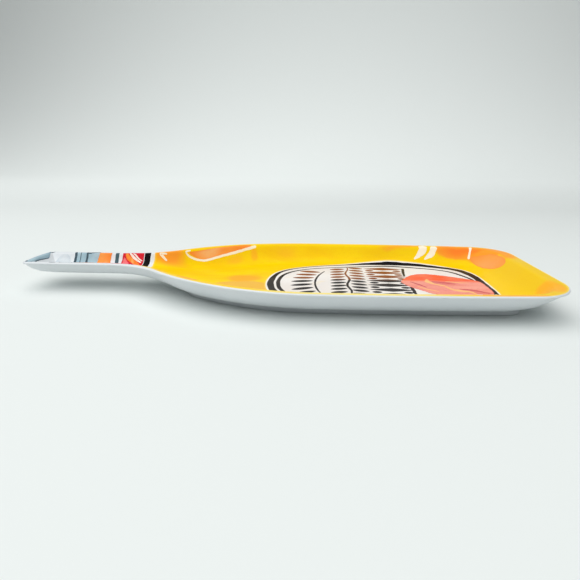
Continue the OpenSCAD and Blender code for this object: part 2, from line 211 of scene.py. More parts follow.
# Rows of points down the wall, as fractions of its width, closer together over the rim's bend
WALL_U = np.concatenate([np.linspace(0, 0.34, 18), np.linspace(0.38, 1, 18)])
# Points on each stretch of half the outline
STRETCHES = {
    "end": 14, "corner": 22, "side": 34, "shoulder": 46,
    "fillet": 30, "neck": 24, "tip_corner": 14, "tip": 10,
}
HALF_N = sum(STRETCHES.values())


def steps(name):
    return np.arange(STRETCHES[name]) / STRETCHES[name]


def half_loop(u, out=0.0):
    """Half of the outline, base end to tip, set in by the fraction u of the wall and out by a distance."""
    s, t = u * BODY_RUN - out, u * NECK_RUN - out
    rb, rt = max(BASE_R - s, TIGHT_R), max(TIP_R - t, TIGHT_R)
    cb, ct = base_corner(s, rb), tip_corner(t, rt)
    side_a = math.atan2(cb[1] - SIDE_C[1], cb[0] - SIDE_C[0])
    tip_a = math.atan2(ct[1] - TIP_C[1], ct[0] - TIP_C[0])
    right = math.pi / 2
    a_sh = right + TURN * steps("shoulder")
    a_fi = TURN * (1 - steps("fillet"))
    sh_x = SHOULDER_C[0] + SHOULDER_R * np.cos(a_sh)
    fi_x = FILLET_C[0] + FILLET_R * np.sin(a_fi)
    end, neck = steps("end"), steps("neck")
    tip = np.arange(STRETCHES["tip"] + 1) / STRETCHES["tip"]
    return np.concatenate([
        np.stack([np.full_like(end, BASE_X - s), cb[1] * end], -1),
        polar(cb, rb, side_a * steps("corner")),
        polar(SIDE_C, BULGE_R - s, mix(side_a, right, steps("side"))),
        polar(SHOULDER_C, SHOULDER_R - u * loop_run(sh_x) + out, a_sh),
        polar(FILLET_C, FILLET_R + u * loop_run(fi_x) - out, a_fi - right),
        np.stack([mix(NECK_END_X, ct[0], neck), np.full_like(neck, NECK_HALF - t)], -1),
        polar(ct, rt, mix(right, tip_a, steps("tip_corner"))),
        polar(TIP_C, TIP_BOW_R - t, mix(tip_a, math.pi, tip)),
    ])


def spine(inner):
    """Middle line of the dish, one point for each point of a half loop."""
    body_n = STRETCHES["end"] + STRETCHES["corner"] + STRETCHES["side"]
    stop = HALF_N - STRETCHES["tip_corner"] - STRETCHES["tip"]
    x = inner[:, 0].copy()
    x[:body_n] = mix(inner[0, 0], BELLY_X, np.arange(body_n) / body_n)
    tail = np.arange(HALF_N - stop + 1) / (HALF_N - stop)
    x[stop:] = mix(inner[stop, 0], inner[HALF_N, 0], tail)
    return np.stack([x, np.zeros_like(x)], -1)


def raised(loop, height):
    """A plan loop with heights from a function of x and y."""
    return np.column_stack([loop, height(loop[:, 0], loop[:, 1])])


# ---------------------------------------------------------------- mesh helpers
def new_object(name, points, faces, smooth=True):
    """A mesh object from points in millimetres."""
    mesh = bpy.data.meshes.new(name)
    mesh.from_pydata((np.asarray(points) * MM).tolist(), [], faces)
    mesh.validate()
    mesh.polygons.foreach_set("use_smooth", [smooth] * len(mesh.polygons))
    obj = bpy.data.objects.new(name, mesh)
    bpy.context.scene.collection.objects.link(obj)
    return obj


def finish_piece(obj, material, nodes):
    obj.data.materials.append(material)
    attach(obj, "root")
    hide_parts(*nodes)
    return obj


def lip_loop(angle):
    """The lip's rounded edge at an angle above level."""
    half = half_loop(0, LIP - LIP_R + LIP_R * math.cos(angle))
    return np.column_stack([half, rim_z(half[:, 0]) - LIP_R + LIP_R * math.sin(angle)])


def make_shell():
    inner = half_loop(1)
    middle = spine(inner)
    # Rows over the floor, from the middle line outwards, closer together towards the wall
    floor_rows = (0, 0.3, 0.45, 0.55, 0.62, 0.68, 0.74, 0.79, 0.84, 0.88, 0.92, 0.96)
    side = half_loop(0, LIP)
    rows = [raised(mix(middle, inner, t), top_z) for t in floor_rows]
    rows += [raised(half_loop(u), top_z) for u in WALL_U[::-1]]
    crest = half_loop(0, (LIP - LIP_R) / 2)
    rows.append(np.column_stack([crest, rim_z(crest[:, 0])]))
    rows += [lip_loop(math.radians(a)) for a in range(90, -1, -10)]
    rows.append(np.column_stack([side, rim_z(side[:, 0]) - LIP_SIDE]))
    for t in (0.15, 0.5, 0.85):
        under = half_loop(0, mix(LIP, UNDERLIP, t))
        drop = mix(LIP_SIDE, UNDERLIP_DROP, t**1.5)
        rows.append(np.column_stack([under, rim_z(under[:, 0]) - drop]))
    rows += [raised(half_loop(0, out), bottom_z) for out in (UNDERLIP, UNDERLIP / 2)]
    rows += [raised(half_loop(u), bottom_z) for u in np.linspace(0, 1, 26)]
    rows += [raised(mix(middle, inner, t), bottom_z) for t in floor_rows[::-1]]
    last, n = len(rows) - 1, 2 * HALF_N
    points = np.concatenate([rows[0]] + [both_sides(r) for r in rows[1:last]] + [rows[last]])

    def index(k, j):
        m = j % n
        fold = min(m, n - m)
        if k == 0:
            return fold
        return (HALF_N + 1) + (k - 1) * n + (fold if k == last else m)

    faces = [[index(k, j), index(k + 1, j), index(k + 1, j + 1), index(k, j + 1)]
             for k in range(last) for j in range(n)]
    return new_object("melamine_shell", points, faces)


FOOT_INSET = 22.0
FOOT_WIDTH = 3.4
FOOT_CORNER_R = 13.0
FOOT_NOSE_R = 30.0
FOOT_STEPS = {"end": 10, "corner": 12, "side": 26, "shoulder": 34, "nose": 40}


def foot_loop(out):
    """The foot's plan, grown outward by a distance from its outer edge."""
    s, nose_r, rb = FOOT_INSET - out, FOOT_NOSE_R + out, FOOT_CORNER_R + out
    cb = base_corner(s, rb)
    right = math.pi / 2
    side_a = math.atan2(cb[1] - SIDE_C[1], cb[0] - SIDE_C[0])
    nose = np.array([BELLY_X - math.sqrt((SHOULDER_R - s - nose_r) ** 2 - SHOULDER_C[1] ** 2), 0])
    nose_a = math.atan2(nose[1] - SHOULDER_C[1], nose[0] - SHOULDER_C[0])
    t = {name: np.arange(n) / n for name, n in FOOT_STEPS.items()}
    t["nose"] = np.arange(FOOT_STEPS["nose"] + 1) / FOOT_STEPS["nose"]
    half = np.concatenate([
        np.stack([np.full_like(t["end"], BASE_X - s), cb[1] * t["end"]], -1),
        polar(cb, rb, side_a * t["corner"]),
        polar(SIDE_C, BULGE_R - s, mix(side_a, right, t["side"])),
        polar(SHOULDER_C, SHOULDER_R - s, mix(right, nose_a, t["shoulder"])),
        polar(nose, nose_r, mix(nose_a, math.pi, t["nose"])),
    ])
    return both_sides(half)


def make_foot():
    """The foot ring: rounded at the bottom, faired into the dish at the top and sunk a little into it."""
    fair, edge, sunk = 1.2, 0.7, 0.3
    arc = np.radians(np.arange(0, 91, 15))
    rows = []

    def row(out, z):
        loop = foot_loop(out)
        under = bottom_z(loop[:, 0], loop[:, 1])
        heights = z(under) if callable(z) else np.full(len(loop), z)
        rows.append(np.column_stack([loop, heights]))

    def faired(a):
        return lambda under: under + sunk - fair * (1 - math.sin(a))

    for a in arc[::-1]:
        row(fair * (1 - math.cos(a)), faired(a))
    for a in arc:
        row(-edge * (1 - math.cos(a)), edge * (1 - math.sin(a)))
    for a in arc[::-1]:
        row(-FOOT_WIDTH + edge * (1 - math.cos(a)), edge * (1 - math.sin(a)))
    for a in arc:
        row(-FOOT_WIDTH - fair * (1 - math.cos(a)), faired(a))
    n, m = len(rows[0]), len(rows)
    faces = [[k * n + j, k * n + (j + 1) % n, (k + 1) % m * n + (j + 1) % n, (k + 1) % m * n + j]
             for k in range(m) for j in range(n)]
    return new_object("melamine_foot_ring", np.concatenate(rows), faces)


# ---------------------------------------------------------------- printed sheets
GRID = 2.0               # spacing of the points over the dish's floor
BEND_END, BEND_STEP = 0.36, 1.0      # rows above this part of the wall have their points this close
OUTLINE_STEP = 0.4       # greatest spacing of the points along a sheet's outline
INK_BASE = 0.08          # thickness of the first layer of ink
INK_STEP = 0.05          # each further layer lies this much higher
INK_SINK = 0.04          # how far a sheet's lower face sinks into what it lies on


def inside(points, loop):
    """Which plan points lie inside a closed loop."""
    x, y = points[:, :1], points[:, 1:]
    x0, y0 = loop[:, 0], loop[:, 1]
    x1, y1 = np.roll(x0, -1), np.roll(y0, -1)
    crosses = (y0 > y) != (y1 > y)
    rise = np.where(y1 == y0, 1, y1 - y0)
    return (crosses & (x < (x1 - x0) * (y - y0) / rise + x0)).sum(1) % 2 == 1


def in_print(points, loops):
    """Which plan points are inked. Loops inside others are holes."""
    return sum(inside(points, loop) for loop in loops) % 2 == 1


def resampled(loop, spacing):
    """The loop with points added so that none are further apart than the spacing."""
    out = []
    for p, q in zip(loop, np.roll(loop, -1, axis=0)):
        n = max(1, math.ceil(np.linalg.norm(q - p) / spacing))
        out += [mix(p, q, i / n) for i in range(n)]
    return np.array(out)


def surface_points():
    """Plan points over the whole dish: the shell's own rows on the wall, a staggered grid on the floor."""
    rows = []
    for u in WALL_U[1:]:
        loop = both_sides(half_loop(u))
        rows.append(resampled(loop, BEND_STEP) if u < BEND_END else loop)
    gx, gy = np.meshgrid(np.arange(TIP_X, BASE_X, GRID), np.arange(-BODY_HALF, BODY_HALF, GRID))
    gx = gx + (np.arange(len(gy)) % 2)[:, None] * GRID / 2
    floor = np.stack([gx.ravel(), gy.ravel()], -1)
    floor = floor[edge_gap(floor[:, 0], floor[:, 1]) > loop_run(floor[:, 0]) + GRID / 2]
    return np.concatenate([*rows, floor])


SURFACE_POINTS = surface_points()


def gap_to(points, outline):
    """Distance of each point to the outline's nearest point."""
    return np.array([np.linalg.norm(outline - p, axis=1).min() for p in points])


def make_sheet(name, loops, layer=0):
    """A thin closed sheet of ink on the dish's upper face. Loops inside others are holes."""
    loops = [resampled(np.asarray(loop, float), OUTLINE_STEP) for loop in loops]
    outline = np.concatenate(loops)
    edges, start = [], 0
    for loop in loops:
        n = len(loop)
        edges += [(start + i, start + (i + 1) % n) for i in range(n)]
        start += n
    low, high = outline.min(0), outline.max(0)
    near = SURFACE_POINTS[((SURFACE_POINTS > low) & (SURFACE_POINTS < high)).all(1)]
    near = near[in_print(near, loops)]
    near = near[gap_to(near, outline) > OUTLINE_STEP / 4]
    plan = np.concatenate([outline, near])
    found = delaunay_2d_cdt([Vector(p) for p in plan], edges, [], 0, 1e-5)
    verts, tris = np.array([tuple(v) for v in found[0]]), np.array(found[2])
    tris = tris[in_print(verts[tris].mean(1), loops)]
    used = np.unique(tris)
    renumber = np.full(len(verts), -1)
    renumber[used] = np.arange(len(used))
    verts, tris = verts[used], renumber[tris]

    n = len(verts)
    under = top_z(verts[:, 0], verts[:, 1]) + (INK_BASE + INK_STEP * (layer - 1) if layer else 0)
    top = np.column_stack([verts, under + (INK_STEP if layer else INK_BASE)])
    points = np.concatenate([top, np.column_stack([verts, under - INK_SINK])])
    pairs = {(t[i], t[(i + 1) % 3]) for t in tris.tolist() for i in range(3)}
    rim = np.array(sorted(e for e in pairs if (e[1], e[0]) not in pairs))
    walls = np.column_stack([rim[:, 1], rim[:, 0], rim[:, 0] + n, rim[:, 1] + n])
    obj = new_object(name, points, tris.tolist() + (tris[:, ::-1] + n).tolist() + walls.tolist())

    # The faces take the dish's own normals, so that the glaze runs on without a break
    up = top_normal(verts[:, 0], verts[:, 1])
    corners = points[walls]
    out = np.cross(corners[:, 1] - corners[:, 0], corners[:, 3] - corners[:, 0])
    out /= np.linalg.norm(out, axis=1, keepdims=True)
    normals = np.concatenate([up[tris.ravel()], -up[tris[:, ::-1].ravel()], np.repeat(out, 4, axis=0)])
    obj.data.normals_split_custom_set(normals.tolist())
    # Ink pools where a wash ends, so the material needs the distance to the outline
    gaps = np.tile(gap_to(verts, outline), 2)
    obj.data.attributes.new("outline_gap", "FLOAT", "POINT").data.foreach_set("value", gaps)
    return obj


def ink(name, loops, material, node, layer=0, slot=None):
    """A printed piece in one node. The slot, the material's own name unless another is given, is worked out
    but not used.
    """
    slot = slot or material.name.split(".")[0]      # Blender numbers a name that the frame has used
    return finish_piece(make_sheet(name, loops, layer), material, [node])


# ---------------------------------------------------------------- brush shapes
def curve(points, closed=False, spacing=0.8):
    """Smooth curve through plan points."""
    p = np.asarray(points, float)
    count = len(p) if closed else len(p) - 1
    if closed:
        knots = np.concatenate([p[-1:], p, p[:2]])
    else:
        knots = np.concatenate([[2 * p[0] - p[1]], p, [2 * p[-1] - p[-2]]])
    out = []
    for i in range(count):
        a, b, c, d = knots[i:i + 4]
        n = max(2, math.ceil(np.linalg.norm(c - b) / spacing))
        t = (np.arange(n) / n)[:, None]
        square = (2 * a - 5 * b + 4 * c - d) * t**2
        out.append(0.5 * (2 * b + (c - a) * t + square + (3 * b - a - 3 * c + d) * t**3))
    return np.concatenate(out if closed else out + [p[-1:]])


def lengths_along(path):
    return np.concatenate([[0], np.cumsum(np.linalg.norm(np.diff(path, axis=0), axis=1))])


def wobble(s, seed):
    """A hand's unsteadiness at a distance along a stroke in mm, between about -1 and 1."""
    quick = 0.6 * np.sin(2.3 * s + 1.7 * seed)
    return (np.sin(0.9 * s + 3.1 * seed) + quick + 0.4 * np.sin(0.31 * s + seed)) / 2


def stroke(points, widths, ragged=0.12, seed=1):
    """Outline of a brush stroke along a smooth curve. The widths are spread evenly along it."""
    path = curve(points)
    s = lengths_along(path)
    tangent = np.gradient(path, axis=0)
    tangent /= np.linalg.norm(tangent, axis=1, keepdims=True)
    normal = np.stack([-tangent[:, 1], tangent[:, 0]], -1)
    half = np.interp(s / s[-1], np.linspace(0, 1, len(widths)), widths) / 2
    left = path + normal * (half * (1 + ragged * wobble(s, seed)))[:, None]
    right = path - normal * (half * (1 + ragged * wobble(s, seed + 5)))[:, None]
    head = path[0] - tangent[0] * half[0] * 0.8
    foot = path[-1] + tangent[-1] * half[-1] * 0.8
    return np.concatenate([left, [foot], right[::-1], [head]])


def paint_strokes(strokes, ragged, material, node, layer, slot=None):
    """One brush stroke for each name, from its points and widths."""
    for seed, (name, (points, widths)) in enumerate(strokes.items()):
        ink(name, [stroke(points, widths, ragged, seed)], material, node, layer, slot)


def patch(points, ragged=0.3, seed=1):
    """Closed hand-painted outline through plan points."""
    loop = curve(points, closed=True)
    s = lengths_along(loop)
    away = loop - loop.mean(0)
    away /= np.linalg.norm(away, axis=1, keepdims=True)
    fade = np.minimum(1, np.minimum(s, s[-1] - s) / 4)
    return loop + away * (ragged * wobble(s, seed) * fade)[:, None]


def leaf(centre, length, width, turn):
    """Pointed oval, its long axis turned by an angle in degrees."""
    t = np.linspace(-1, 1, 13)
    side = width / 2 * (1 - t * t) ** 0.8
    loop = both_sides(np.stack([t, side], -1))
    loop[:, 0] *= length / 2
    a = math.radians(turn)
    spin = np.array([[math.cos(a), math.sin(a)], [-math.sin(a), math.cos(a)]])
    return np.asarray(centre) + loop @ spin


def lozenge(centre, length, width):
    """Diamond with its long axis along X and slightly bowed sides."""
    t = np.linspace(-1, 1, 9)
    side = width / 2 * (1 - np.abs(t)) ** 0.85
    loop = both_sides(np.stack([t, side], -1))
    return np.asarray(centre) + loop * np.array([length / 2, 1])


PRINT_OUT = 0.9          # on the body the print runs this far on to the lip's level crest
NECK_MARGIN = 1.2        # on the neck it stops this far short of the print's edge


def half_width(x):
    """Half width of the printed area in the neck and up to the shoulder's start."""
    dx = np.clip(x - FILLET_C[0], 0, None)
    return FILLET_C[1] - np.sqrt((FILLET_R + NECK_MARGIN) ** 2 - dx**2)


def across(x, lean, v=np.linspace(1, -1, 50)):
    """Points across the neck on a leaning line that crosses the middle at x."""
    y = v * half_width(x)
    for _ in range(4):
        y = v * half_width(x - lean * y)
    return np.stack([x - lean * y, y], -1)


def band(x0, x1, leans, ragged=0.1, seed=1):
    """Band right across the neck between two places on the middle line, each side with its own lean."""
    left, right = across(x0, leans[0]), across(x1, leans[1])
    left[:, 0] += ragged * wobble(left[:, 1], seed)
    right[:, 0] += ragged * wobble(right[:, 1], seed + 2)
    for side in (left, right):
        side[:, 1] = np.sign(side[:, 1]) * np.minimum(np.abs(side[:, 1]), half_width(side[:, 0]))
    return np.concatenate([left, right[::-1]])


# ---------------------------------------------------------------- materials
def srgb(r, g, b):
    """A linear colour from 8-bit display values."""
    def linear(c):
        c /= 255
        return c / 12.92 if c <= 0.04045 else ((c + 0.055) / 1.055) ** 2.4
    return (linear(r), linear(g), linear(b), 1.0)


class Paint:
    """A glazed material whose colour is built up from node sockets."""

    def __init__(self, name, roughness=(0.28, 0.42), specular=0.05, coat=0.02, peel=0.06):
        self.material = bpy.data.materials.new(name)
        self.material.use_nodes = True
        self.tree = self.material.node_tree
        self.shader = self.tree.nodes["Principled BSDF"]
        self.place = self.add("TexCoord").outputs["Object"]
        self.shader.inputs["Specular IOR Level"].default_value = specular
        self.shader.inputs["Coat Weight"].default_value = coat
        self.shader.inputs["Coat Roughness"].default_value = 0.06
        smear = self.noise(45, detail=3)
        self.feed(self.shader.inputs["Roughness"], self.remap(smear, (0.35, 0.65), roughness))
        bump = self.add("Bump", Strength=peel, Distance=0.0004, Height=self.noise(420, detail=2))
        self.feed(self.shader.inputs["Normal"], bump.outputs["Normal"])

    def feed(self, socket, value):
        """Join a socket to another node's output, or set it to a fixed value."""
        if isinstance(value, bpy.types.NodeSocket):
            self.tree.links.new(value, socket)
        else:
            socket.default_value = value

    def add(self, kind, *sockets, **values):
        """A shader node, with its first inputs in order and its settings or other inputs by name."""
        made = self.tree.nodes.new("ShaderNode" + kind)
        for key, value in values.items():
            if key in made.inputs:
                self.feed(made.inputs[key], value)
            else:
                setattr(made, key, value)
        for i, value in enumerate(sockets):
            self.feed(made.inputs[i], value)
        return made

    def noise(self, scale, detail=4, stretch=None):
        """Noise from 0 to 1 with features of about 1 / scale metres."""
        place = self.place
        if stretch:
            place = self.add("Mapping", place, Scale=stretch).outputs["Vector"]
        return self.add("TexNoise", place, Scale=scale, Detail=detail).outputs["Fac"]

    def remap(self, value, span, out=(0.0, 1.0)):
        return self.add("MapRange", value, *span, *out, interpolation_type="SMOOTHSTEP").outputs[0]

    def times(self, a, b):
        return self.add("Math", a, b, operation="MULTIPLY").outputs[0]

    def blend(self, factor, a, b):
        """Colour a where the factor is 0 and b where it is 1."""
        made = self.add("Mix", factor, data_type="RGBA")
        self.feed(made.inputs[6], a)
        self.feed(made.inputs[7], b)
        return made.outputs[2]

    def axis(self, name):
        """One object coordinate, in metres."""
        return self.add("SeparateXYZ", self.place).outputs[name]

    def run(self, amount, scale):
        """Shift the textures made from here on by noise, the way wet paint runs. The amount is in mm."""
        noise = self.add("TexNoise", self.place, Scale=scale, Detail=3).outputs["Color"]
        centred = self.add("VectorMath", noise, (0.5, 0.5, 0.5), operation="SUBTRACT").outputs[0]
        shift = self.add("VectorMath", centred, operation="SCALE", Scale=amount * MM * 2).outputs[0]
        self.place = self.add("VectorMath", self.place, shift, operation="ADD").outputs[0]

    def spot(self, centre, radii, turn=0.0, soft=0.5):
        """1 inside an oval, fading to 0 at its edge over the soft part of its radius."""
        mapping = self.add(
            "Mapping", self.place, vector_type="TEXTURE", Rotation=(0, 0, math.radians(turn)),
            Location=(centre[0] * MM, centre[1] * MM, 0), Scale=(radii[0] * MM, radii[1] * MM, 100))
        reach = self.add("VectorMath", mapping.outputs["Vector"], operation="LENGTH")
        return self.remap(reach.outputs["Value"], (1 - soft, 1.0), (1.0, 0.0))

    def edge(self, width):
        """1 at the sheet's outline, 0 further in than the width in mm."""
        attribute = self.add("Attribute", attribute_name="outline_gap")
        return self.remap(attribute.outputs["Fac"], (0.0, width), (1.0, 0.0))

    def grain(self, colour, deep, amount=0.25):
        """Pigment settled in fine specks."""
        specks = self.remap(self.noise(700, detail=2), (0.52, 0.74))
        return self.blend(self.times(specks, amount), colour, deep)

    def colour(self, socket):
        self.feed(self.shader.inputs["Base Color"], socket)
        return self.material


def melamine(name, tint, shade, roughness, bottom_grey=None):
    """Moulded melamine: faintly cloudy and speckled, and, if given a bottom tone, greyer in streaks over
    its lowest 0.6 mm.
    """
    paint = Paint(name, roughness, specular=0.35, coat=0.2, peel=0.09)
    colour = paint.blend(paint.remap(paint.noise(14, detail=5), (0.3, 0.7)), tint, shade)
    specks = paint.remap(paint.noise(900, detail=1), (0.72, 0.78))
    colour = paint.blend(paint.times(specks, 0.35), colour, srgb(186, 192, 196))
    if bottom_grey:
        # Streaks of the bottom tone over the lowest 0.6 mm, where the foot meets the floor
        low = paint.remap(paint.axis("Z"), (0.0, 0.6 * MM), (1.0, 0.0))
        bottom_streaks = paint.remap(paint.noise(160, detail=6, stretch=(1, 6, 1)), (0.42, 0.62))
        colour = paint.blend(paint.times(bottom_streaks, low), colour, bottom_grey)
    return paint.colour(colour)


def wash(name, light, deep, pool=None, pool_width=1.2, scale=60, streaks=(1, 1, 1), second=None):
    """Watercolour that drifts between two tones and pools at its outline."""
    paint = Paint(name)
    paint.run(2.0, 90)
    colour = paint.blend(paint.remap(paint.noise(scale, stretch=streaks), (0.32, 0.68)), light, deep)
    if second:
        tone, centre, radii, turn, soft = second
        colour = paint.blend(paint.spot(centre, radii, turn, soft), colour, tone)
    colour = paint.grain(colour, deep)
    if pool:
        colour = paint.blend(paint.times(paint.edge(pool_width), 0.7), colour, pool)
    return paint.colour(colour)


def brush(name, tone, dry, dryness=(0.56, 0.74), far=None):
    """Brush line that lets the ground through where the brush ran dry.

    far is another tone, for the part of the tray's far side."""
    paint = Paint(name, specular=0.03, coat=0.02)
    colour = tone
    if far:
        paint.run(5.0, 60)
        mask = paint.remap(paint.axis("Y"), (4 * MM, 11 * MM))
        colour = paint.blend(mask, tone, far)
    bristles = paint.remap(paint.noise(260, detail=5, stretch=(1, 1.6, 1)), dryness)
    return paint.colour(paint.blend(paint.times(bristles, 0.55), colour, dry))


CHARCOAL, BROWN = srgb(46, 44, 47), srgb(146, 82, 38)
CREAM, PAPER = srgb(255, 246, 222), srgb(242, 239, 235)


def field_material():
    """Yellow ground with soft orange, peach and mustard washes run into it."""
    paint = Paint("ink_yellow")
    drag = paint.remap(paint.noise(26, detail=5, stretch=(1, 3.2, 1)), (0.35, 0.68))
    colour = paint.blend(drag, srgb(253, 213, 0), srgb(250, 202, 0))
    pale = paint.remap(paint.noise(38, detail=3, stretch=(1, 2.4, 1)), (0.6, 0.78))
    colour = paint.blend(paint.times(pale, 0.45), colour, srgb(255, 222, 20))
    colour = paint.blend(paint.remap(paint.axis("X"), (150 * MM, 174 * MM)), colour, srgb(244, 202, 24))
    paint.run(5.0, 42)
    orange, deep = srgb(255, 160, 44), srgb(255, 122, 40)
    peach, apricot, pale_rim = srgb(241, 187, 68), srgb(252, 178, 40), srgb(244, 230, 146)
    # tone, centre, radii, turn, softness and strength
    washes = (
        (orange, (-90, 24), (17, 11), 28, 0.6, 1.0),
        (apricot, (-82, 19), (12, 5), 30, 0.8, 0.4),
        (apricot, (-40, 46), (11, 5), 35, 0.8, 0.5),
        (orange, (-24, 55), (5, 6), 20, 0.7, 0.5),
        (apricot, (2, 63), (14, 5), 10, 0.8, 0.35),
        (peach, (-23, -19), (27, 17), -6, 0.16, 1.0),
        (apricot, (-26, 5), (17, 12), 10, 0.5, 1.0),
        (orange, (104, 69), (24, 4), -2, 0.7, 0.7),
        (orange, (153, 64.5), (27, 7.5), -8, 0.3, 1.0),
        (orange, (172, 56), (18, 10), -32, 0.35, 1.0),
        (orange, (184, 43), (6, 20), 4, 0.5, 0.95),
        (deep, (150, 64.5), (20, 5.5), -8, 0.95, 0.7),
        (deep, (164, 63), (16, 3.5), -14, 0.8, 0.6),
        (apricot, (178, -46), (8, 16), -8, 0.4, 0.9),
        (orange, (152, -71), (42, 4.5), 4, 0.5, 0.8),
        (orange, (-76, -29), (13, 7), -34, 0.6, 0.85),
        (apricot, (-18, -57), (24, 6), -14, 0.7, 0.7),
        (orange, (74, -62), (30, 5), 0, 0.7, 0.7),
        (pale_rim, (54, -74), (92, 8), 0, 0.5, 0.85),
    )
    for tone, centre, radii, turn, soft, strength in washes:
        mask = paint.times(paint.spot(centre, radii, turn, soft), strength)
        colour = paint.blend(mask, colour, tone)
    colour = paint.grain(colour, srgb(240, 170, 20), 0.18)
    rim = paint.times(paint.edge(1.4), 0.6)
    return paint.colour(paint.blend(rim, colour, srgb(255, 232, 130)))


def label_material():
    """Off-white ground of the label, faintly stained."""
    paint = Paint("ink_label_white")
    colour = paint.blend(paint.remap(paint.noise(22, detail=5), (0.35, 0.7)), PAPER, srgb(232, 226, 220))
    stain = paint.remap(paint.noise(48, detail=4, stretch=(1, 2, 1)), (0.62, 0.8))
    colour = paint.blend(paint.times(stain, 0.5), colour, srgb(244, 226, 190))
    return paint.colour(paint.blend(paint.times(paint.edge(1.4), 0.5), colour, srgb(255, 250, 240)))


def emblem_material():
    """Coral on the far side, falling to pink, with rose streaks along the tray."""
    paint = Paint("ink_coral")
    paint.run(3.0, 60)
    streaks = paint.remap(paint.noise(42, detail=5, stretch=(0.6, 3, 1)), (0.35, 0.66))
    colour = paint.blend(streaks, srgb(248, 168, 148), srgb(242, 146, 132))
    far_rose = paint.times(paint.spot((124, 2), (14, 5), -8), 0.6)
    colour = paint.blend(far_rose, colour, srgb(216, 108, 108))
    near_rose = paint.times(paint.spot((143, -19), (15, 6), -20), 0.6)
    colour = paint.blend(near_rose, colour, srgb(220, 108, 104))
    top = paint.remap(paint.axis("Y"), (3 * MM, 10 * MM))
    coral = paint.blend(paint.remap(paint.noise(50), (0.35, 0.65)), srgb(255, 96, 52), srgb(250, 128, 92))
    colour = paint.blend(top, colour, coral)
    colour = paint.grain(colour, srgb(200, 70, 64))
    return paint.colour(paint.blend(paint.times(paint.edge(1.0), 0.5), colour, srgb(224, 62, 44)))


# ---------------------------------------------------------------- moulding
finish_piece(
    make_shell(),
    melamine("melamine_white", srgb(232, 236, 238), srgb(225, 230, 233), (0.3, 0.42)),
    ["tray_shell"])
finish_piece(
    make_foot(),
    melamine("melamine_foot", srgb(228, 232, 234), srgb(220, 225, 228), (0.34, 0.5), srgb(204, 207, 209)),
    ["foot_ring"])

# ---------------------------------------------------------------- neck and cap
SLATE, GREY_LINE = srgb(74, 100, 108), srgb(112, 130, 140)


def tip_edge(y, inset):
    """X of the tip's edge, set in by a distance."""
    return TIP_C[0] - np.sqrt((TIP_BOW_R - inset) ** 2 - np.square(y))


def make_cap():
    """The neck's end: washes on the tip and between two dark lines, and a faint patch of painted shade on
    the white cap.
    """
    fold = curve([(-185.2, 16.4), (-183.3, 12), (-181.9, 7), (-182.5, 1.8), (-182.9, -5), (-182.2, -11),
                  (-180.5, -16.6)])
    ys = np.linspace(-16.9, 16.9, 30)
    edge = np.stack([tip_edge(ys, 0.2), ys], -1)
    blue = wash("ink_grey_wash", srgb(176, 202, 210), srgb(150, 176, 188), srgb(128, 150, 166), 0.8, 90)
    ink("tip_wash", [np.concatenate([edge, fold])], blue, "cap_tip_wash")
    pale = wash("ink_pale_blue", srgb(184, 206, 214), srgb(158, 188, 200), srgb(126, 156, 172), 0.7, 70,
                (1, 0.5, 1))
    ink("pale_blue_band", [band(-162.3, -141.0, (0.1, 0.0), 0.3)], pale, "cap_pale_band")
    # Painted shade: a faint grey patch on the cap's white top, between the tip wash and the dark lines
    faint = wash("cap_painted_shade", srgb(224, 230, 233), srgb(200, 211, 218), scale=80)
    shade_patch = patch([(-178, 9), (-173, 14.5), (-167, 12), (-166.5, 2), (-169, -8), (-176, -6)])
    ink("cap_painted_shade_patch", [shade_patch], faint, "cap_tip_wash", slot="ink_grey_wash")
    dark = brush("ink_grey_line", srgb(72, 90, 100), GREY_LINE)
    v = np.linspace(0.99, -0.99, 9)
    lines = {
        "cap_line_outer": stroke(across(-161.2, 0.14, v), [1.9, 2.3, 2.1, 2.4], 0.2, 2),
        "cap_line_thin": stroke(across(-157.9, 0.08, v[:6]), [0.5, 0.9, 0.6], 0.3, 3),
        "cap_line_inner": stroke(across(-151.9, 0.13, v), [1.6, 2.1, 1.9, 1.4], 0.25, 4),
        "cap_line_edge": stroke([(-153, 15.6), (-149, 16.2), (-143.5, 16.9)], [1.7, 1.2, 0.5], 0.3, 5),
        "tip_line": stroke([(-180.5, -16.4), (-182.2, -11), (-182.9, -5), (-182.5, 1.8), (-181.9, 7.2)],
                           [0.3, 0.4, 0.45, 0.45, 0.3], 0.2, 6),
        "tip_far_stroke": stroke([(-184.9, 13.4), (-183.4, 15), (-181.8, 16.2)], [0.5, 1.3, 0.6], 0.2, 7),
        "tip_near_blot": stroke([(-186.2, -13.2), (-185.6, -14.8), (-184.8, -16.2)], [0.5, 1.6, 0.8],
                                0.2, 8),
        "tip_dash": stroke([(-167, -17), (-164.6, -17.2), (-161.8, -17)], [0.4, 0.9, 0.3], 0.2, 9),
    }
    for name, loop in lines.items():
        ink(name, [loop], dark, "cap_lines", 1)


